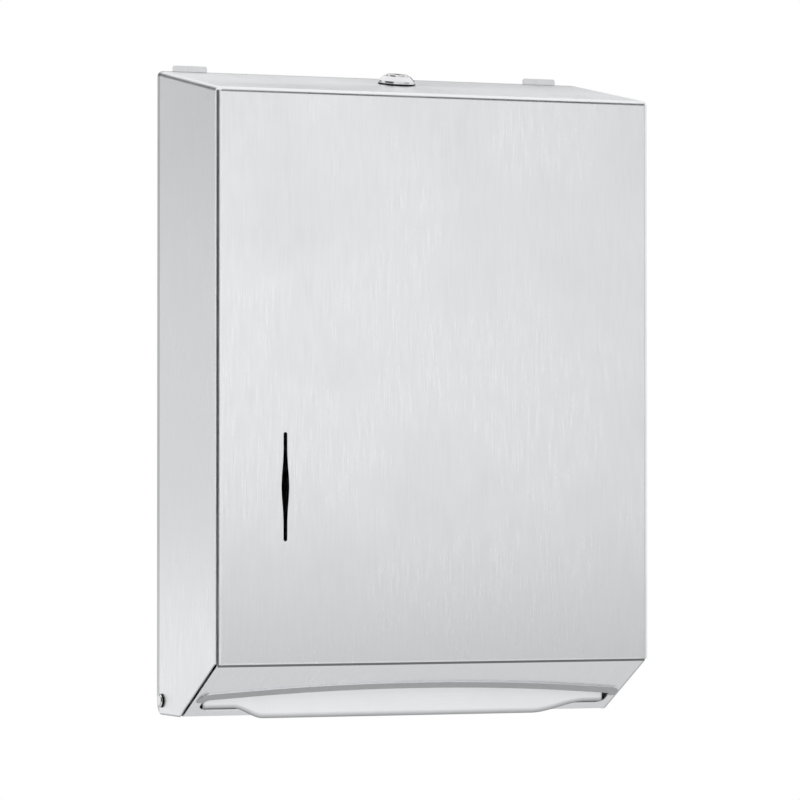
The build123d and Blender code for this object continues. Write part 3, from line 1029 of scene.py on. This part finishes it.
    def build_leading_towel(self) -> None:
        """Make the next towel, folded, lying on the shelf and hanging over the lip."""
        low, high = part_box("leading_towel")
        shelf = high.z - self.folded
        hang = low.y + self.folded
        lip_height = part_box("cover_shell")[0].z + self.lip_rise
        route = ((high.y, shelf), (-self.slope_start, shelf), (hang, lip_height), (hang, low.z))
        path = FoldPath.rounded([Vector(p) for p in route], self.bend_radius, self.bend_steps)
        lip = path.length - (lip_height - low.z) * self.lip_share
        half = high.x + self.spare
        steps = range(self.columns + 1)
        places = [self.shift + half * (2 * i / self.columns - 1) for i in steps]
        grid = [self._leading_column(x, path, lip) for x in places]
        piece = self._paper_piece("leading_towel_folded", grid)
        piece.dress(self.finishes.of(Slot.TOWEL_PAPER))
        piece.settle(Body.CABINET, Slot.TOWEL_PAPER, ("leading_towel",))


@dataclass
class Cabinet:
    """The fixed box on the wall: back, sides, tray and shelf, with their spot welds."""

    finishes: FinishBook
    # Painted shade on the tray: in the seam under the cover's front, on the band over the mouth and along the
    # right end.
    seam_end: float = -101.1 * MM
    seam_top: float = -196.0 * MM
    seam_shade: float = 0.82
    seam_facing: float = 0.7
    slope_depth: float = 60.0 * MM
    slope_height: float = 33.0 * MM
    slope_middle: Triple = (0.0, -75.0 * MM, -213.16 * MM)
    fold_rise: float = 0.2 * MM
    fold_end: float = -55.0 * MM
    fold_shade: float = 0.5
    fold_facing: float = 0.5
    end_strip: float = 136.6 * MM
    end_shade: float = 0.3

    weld_radius: float = 2.4 * MM
    weld_rise: float = 0.12 * MM
    weld_sides: int = 24
    weld_bead_sides: int = 8
    weld_sizes: Span = (0.85, 1.1)
    weld_seed: int = 3
    sheet: float = 1.0 * MM
    wall_welds: int = 8
    wall_weld_inset: float = 8.0 * MM
    wall_weld_foot: float = 45.0 * MM
    wall_weld_step: float = 36.0 * MM
    shelf_welds: int = 6
    shelf_weld_inset: float = 16.0 * MM
    shelf_weld_drop: float = 5.0 * MM
    keeper_sheet: float = 1.5 * MM
    keeper_weld_inset: float = 7.0 * MM
    keeper_weld_rise: float = 6.0 * MM

    def build(self) -> None:
        """Make the dressed sheets and their welds."""
        metal = SheetMetal(self.finishes)
        cuts = ((ACROSS * self.end_strip, ACROSS), (UP * self.seam_top, UP))
        metal.build(
            "towel_tray", "steel_tray", Body.CABINET, Slot.COVER_STEEL, self._tray_shade, cuts
        )
        for node, name in (
            ("back_panel", "steel_back"),
            ("left_side_wall", "steel_left_wall"),
            ("right_side_wall", "steel_right_wall"),
            ("towel_shelf", "steel_shelf"),
        ):
            metal.build(node, name, Body.CABINET, Slot.CABINET_STEEL)
        self.build_welds()

    def _tray_shade(self, face: bmesh.types.BMFace) -> float:
        """Painted shade of the seam under the cover's front, of the fold over the mouth and of a strip along the
        tray's right end.

        Args:
            face: A face of the tray.

        Returns:
            How deep the face lies in shade.
        """
        middle = face.calc_center_median()
        under_front = middle.y < self.seam_end and middle.z < self.seam_top
        if under_front and face.normal.y < -self.seam_facing:
            return self.seam_shade
        upward = Vector((0.0, -self.slope_depth, self.slope_height)).normalized()
        outward = ACROSS.cross(upward)
        rise = (middle - Vector(self.slope_middle)).dot(outward)
        if rise > self.fold_rise and middle.y < self.fold_end:
            return self.fold_shade if face.normal.dot(upward) < self.fold_facing else 0.0
        return self.end_shade if middle.x > self.end_strip else 0.0

    def _weld_spots(self) -> list[Vector]:
        """Places of the spot welds, which all face the front.

        Returns:
            Each weld's place.
        """
        spots = []
        for node in ("left_side_wall", "right_side_wall"):
            low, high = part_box(node)
            inset = self.wall_weld_inset
            x = low.x + inset if low.x > 0 else high.x - inset
            for step in range(self.wall_welds):
                z = low.z + self.wall_weld_foot + step * self.wall_weld_step
                spots.append(Vector((x, high.y - self.sheet, z)))
        low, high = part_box("towel_shelf")
        run = high.x - low.x - 2 * self.shelf_weld_inset
        for step in range(self.shelf_welds):
            x = low.x + self.shelf_weld_inset + step * run / (self.shelf_welds - 1)
            spots.append(Vector((x, high.y - self.sheet, high.z - self.shelf_weld_drop)))
        low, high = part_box("lock_keeper")
        for x in (low.x + self.keeper_weld_inset, high.x - self.keeper_weld_inset):
            spots.append(Vector((x, high.y - self.keeper_sheet, low.z + self.keeper_weld_rise)))
        return spots

    def build_welds(self) -> None:
        """Press the marks of the spot welds into the cabinet's flanges."""
        mesh = bpy.data.meshes.new("spot_welds")
        mesh.from_pydata(self._weld_spots(), [], [])
        for item in mesh.attributes.new(FACING, "FLOAT_VECTOR", "POINT").data:
            item.vector = -INWARD
        piece = Piece("spot_welds", mesh)
        self._weld_tree().apply(
            piece,
            Radius=self.weld_radius,
            Rise=self.weld_rise,
            Seed=self.weld_seed,
            Material=self.finishes.of(Slot.CABINET_STEEL),
        )
        piece.settle(Body.CABINET, Slot.CABINET_STEEL)

    def _weld_tree(self) -> GeometryTree:
        """Tree that puts a shallow pressed ring at every weld's place.

        Returns:
            The tree.
        """
        tree = GeometryTree("weld_marks", Radius="Float", Rise="Float", Seed="Int")
        given = tree.given
        ring, bead = (
            tree.put("GeometryNodeCurvePrimitiveCircle", {"Resolution": sides, "Radius": radius})
            for sides, radius in (
                (self.weld_sides, given["Radius"]),
                (self.weld_bead_sides, given["Rise"]),
            )
        )
        facing = tree.put(
            "GeometryNodeInputNamedAttribute", {"Name": FACING}, data_type="FLOAT_VECTOR"
        )
        least, most = self.weld_sizes
        draw = {"Min_001": least, "Max_001": most, "Seed": given["Seed"]}
        copies = {
            "Points": given["Geometry"],
            "Instance": tree.put("GeometryNodeCurveToMesh", {"Curve": ring, "Profile Curve": bead}),
            "Rotation": tree.put("FunctionNodeAlignRotationToVector", {"Vector": facing}, axis="Z"),
            "Scale": tree.put("FunctionNodeRandomValue", draw, "Value_001", data_type="FLOAT"),
        }
        return tree.dressed(tree.put("GeometryNodeInstanceOnPoints", copies))


@dataclass
class Cover:
    """The hinged cover: bent steel shell and the lock's thread under its top."""

    finishes: FinishBook
    side_start: float = 138.0 * MM
    # Painted shade along the rear edge and the sides' lower edges.
    rear_strip: float = -6.0 * MM
    rear_shade: float = 0.35
    foot_strip: float = -229.1 * MM
    foot_shade: float = 0.5

    barrel_radius: float = 8.0 * MM
    thread_pitch: float = 1.0 * MM
    thread_depth: float = 0.30 * MM
    thread_top: float = -6.0 * MM
    thread_end: float = -20.6 * MM
    thread_sides: int = 40
    thread_ridge_sides: int = 4

    def build(self) -> None:
        """Make the shell and the thread."""
        cuts = ((INWARD * self.rear_strip, INWARD), (UP * self.foot_strip, UP))
        SheetMetal(self.finishes).build(
            "cover_shell", "steel_cover", Body.COVER, Slot.COVER_STEEL, self._edge_shade, cuts
        )
        self.build_thread()

    def _edge_shade(self, face: bmesh.types.BMFace) -> float:
        """Painted shade along the cover's rear edge and the lower edges of its sides.

        Args:
            face: A face of the cover.

        Returns:
            How deep the face lies in shade.
        """
        middle = face.calc_center_median()
        if middle.z < self.foot_strip and abs(middle.x) > self.side_start:
            return self.foot_shade
        return self.rear_shade if middle.y > self.rear_strip else 0.0

    def build_thread(self) -> None:
        """Wind the thread on the lock's barrel."""
        height = self.thread_top - self.thread_end
        piece = Piece("barrel_thread", bpy.data.meshes.new("barrel_thread"))
        self._thread_tree().apply(
            piece,
            Turns=height / self.thread_pitch,
            Radius=self.barrel_radius,
            Height=height,
            Depth=self.thread_depth,
            Foot=LOCK_SEAT + LOCK_AXIS * self.thread_end,
            Tilt=Vector(UP.rotation_difference(LOCK_AXIS).to_euler()),
            Material=self.finishes.of(Slot.LOCK_CHROME),
        )
        piece.settle(Body.COVER, Slot.LOCK_CHROME)

    def _thread_tree(self) -> GeometryTree:
        """Tree that sweeps a small square section along a helix.

        Returns:
            The tree.
        """
        sizes = dict.fromkeys(("Turns", "Radius", "Height", "Depth"), "Float")
        tree = GeometryTree("barrel_thread", **sizes, Foot="Vector", Tilt="Vector")
        given = tree.given
        helix = {
            "Resolution": self.thread_sides,
            "Rotations": given["Turns"],
            "Start Radius": given["Radius"],
            "End Radius": given["Radius"],
            "Height": given["Height"],
        }
        ridge = {"Resolution": self.thread_ridge_sides, "Radius": given["Depth"]}
        sweep = {
            "Curve": tree.put("GeometryNodeCurveSpiral", helix),
            "Profile Curve": tree.put("GeometryNodeCurvePrimitiveCircle", ridge),
            "Fill Caps": True,
        }
        placing = {
            "Geometry": tree.put("GeometryNodeCurveToMesh", sweep),
            "Translation": given["Foot"],
            "Rotation": given["Tilt"],
        }
        return tree.dressed(tree.put("GeometryNodeTransform", placing))


def dress_solids(finishes: FinishBook) -> None:
    """Give every solid that still shows the finish of its slot.

    Args:
        finishes: The materials by slot.
    """
    for part in frame["record"]["subparts"]:
        solid = frame["nodes"][part["node"]]
        if not solid.hide_render:
            solid.material_slots[0].material = finishes.of(Slot(part["material_slot"]))
            LOG.info("%s wears %s", solid.name, part["material_slot"])


@dataclass(frozen=True)
class Panel:
    """A rectangle in the studio that faces a point and that the camera doesn't see."""

    name: str
    place: Triple
    aim: Triple
    size: Span

    def hang(self, data: bpy.types.ID, front: str) -> bpy.types.Object:
        """Put the panel in its place.

        Args:
            data: Its lamp or its mesh.
            front: The axis that faces the aim.

        Returns:
            The panel's object.
        """
        hung = bpy.data.objects.new(self.name, data)
        hung.location = self.place
        aim = Vector(self.aim) - Vector(self.place)
        hung.rotation_euler = aim.to_track_quat(front, "Y").to_euler()
        hung.visible_camera = False
        bpy.context.scene.collection.objects.link(hung)
        return hung


@dataclass(frozen=True)
class Softbox(Panel):
    """A soft lamp that metal doesn't show; a brightness of 1 is a white face."""

    brightness: float

    def build(self) -> None:
        """Hang the lamp."""
        lamp = bpy.data.lights.new(self.name, "AREA")
        lamp.shape = "RECTANGLE"
        lamp.size, lamp.size_y = self.size
        lamp.energy = self.brightness * math.pi * self.size[0] * self.size[1]
        self.hang(lamp, "-Z").visible_glossy = False


@dataclass(frozen=True)
class Card(Panel):
    """A flat card that only metal shows."""

    tone: float

    def build(self) -> None:
        """Stand the card up."""
        mesh = bpy.data.meshes.new(self.name)
        across, up = self.size[0] / 2, self.size[1] / 2
        corners = [(-across, -up, 0), (across, -up, 0), (across, up, 0), (-across, up, 0)]
        mesh.from_pydata(corners, [], [(0, 1, 2, 3)])
        mesh.materials.append(MattePaint(self.name, (self.tone,) * 3, 1.0).material())
        card = self.hang(mesh, "Z")
        card.visible_diffuse = False
        card.visible_shadow = False


@dataclass
class Studio:
    """White surroundings, pale floor, soft lamps, cards and the camera."""

    ambient: float = 0.71
    floor_height: float = -0.58
    floor_radius: float = 4.2
    floor_sides: int = 96
    floor_paint: MattePaint = MattePaint("floor_pale", (0.92, 0.92, 0.92), 0.9, gloss=0.1)
    camera_place: Triple = (-1.0599, -2.6049, -0.0924)
    camera_yaw: float = math.radians(22.511)
    camera_pitch: float = math.radians(1.074)
    lens: float = 205.7
    sensor: float = 36.0
    view_reach: float = 50.0
    centre: Triple = (0.0, -0.05, -0.03)
    mouth: Triple = (0.0, -0.06, -0.22)

    def build(self) -> None:
        """Set everything up around the dispenser."""
        bpy.context.scene.view_settings.view_transform = "Standard"
        self.build_world()
        self.build_floor()
        self.build_lights()
        self.build_camera()

    def build_world(self) -> None:
        """White surroundings for the camera and for metal, dimmer for plain light."""
        world = bpy.data.worlds.new("white_studio")
        bpy.context.scene.world = world
        world.use_nodes = True
        sheet = NodeSheet(world.node_tree)
        sheet.tree.nodes.clear()
        rays = sheet.add("ShaderNodeLightPath").outputs
        seen: Feed = 0.0
        for ray in Ray:
            seen = sheet.math("MAXIMUM", seen, rays[ray.value])
        dim, full = (
            sheet.put("ShaderNodeBackground", {"Color": WHITE, "Strength": strength})
            for strength in (self.ambient, 1.0)
        )
        mixed = sheet.put("ShaderNodeMixShader", {0: seen, 1: dim, 2: full})
        sheet.add("ShaderNodeOutputWorld", {"Surface": mixed})

    def build_floor(self) -> None:
        """Round pale floor below the dispenser."""
        mesh = bpy.data.meshes.new("floor")
        work = bmesh.new()
        bmesh.ops.create_circle(
            work, cap_ends=True, segments=self.floor_sides, radius=self.floor_radius
        )
        bmesh.ops.translate(work, verts=work.verts, vec=UP * self.floor_height)
        work.to_mesh(mesh)
        work.free()
        mesh.materials.append(self.floor_paint.material())
        floor = bpy.data.objects.new("floor", mesh)
        bpy.context.scene.collection.objects.link(floor)

    def build_lights(self) -> None:
        """Hang the lamps and stand up the cards."""
        centre = self.centre
        for panel in (
            Softbox("key_lamp", (-0.6, -1.6, 0.5), centre, (0.9, 0.9), 0.8),
            Softbox("low_lamp", (-0.2, -0.95, -0.38), self.mouth, (0.9, 0.22), 4.4),
            Card("left_card", (-1.2, -0.49, 0.2), centre, (1.5, 1.6), 0.04),
            Card("upper_front_card", (0.6, -1.25, 1.0), centre, (1.8, 0.85), 0.05),
            Card("lower_front_card", (0.4, -0.9, -0.52), centre, (1.6, 0.72), 0.62),
            Card("right_card", (1.7, -1.7, 0.1), centre, (1.4, 2.2), 0.88),
            Card("rear_card", (-0.58, 1.25, 0.74), centre, (0.9, 0.5), 0.03),
            Card("side_card", (-1.05, 1.60, 0.55), centre, (0.9, 0.8), 0.64),
            Card("side_low_card", (-1.05, 1.60, -0.02), centre, (0.9, 0.34), 0.90),
            Card("lock_card", (1.15, 1.05, 0.62), centre, (0.5, 0.5), 0.03),
            Card("top_card", (0.70, 1.45, 0.62), centre, (0.9, 0.45), 0.72),
        ):
            panel.build()

    def build_camera(self) -> None:
        """Camera at the photograph's viewing angle."""
        yaw, pitch = self.camera_yaw, self.camera_pitch
        ahead = Vector(
            (math.sin(yaw) * math.cos(pitch), math.cos(yaw) * math.cos(pitch), math.sin(pitch))
        )
        right = Vector((math.cos(yaw), -math.sin(yaw), 0.0))
        upward = right.cross(ahead)
        lens = bpy.data.cameras.new("camera")
        lens.lens = self.lens
        lens.sensor_width = self.sensor
        lens.clip_end = self.view_reach
        camera = bpy.data.objects.new("camera", lens)
        turned = Matrix((right, upward, -ahead)).transposed().to_4x4()
        camera.matrix_world = Matrix.Translation(self.camera_place) @ turned
        bpy.context.scene.collection.objects.link(camera)
        bpy.context.scene.camera = camera


def main() -> None:
    """Build the dispenser's pieces, dress them and set up the studio."""
    logging.basicConfig(level=logging.INFO, format="%(name)s: %(message)s")
    finishes = FinishBook()
    Studio().build()
    Cover(finishes).build()
    Cabinet(finishes).build()
    TowelLoad(finishes).build()
    dress_solids(finishes)


if __name__ == "__main__":
    main()
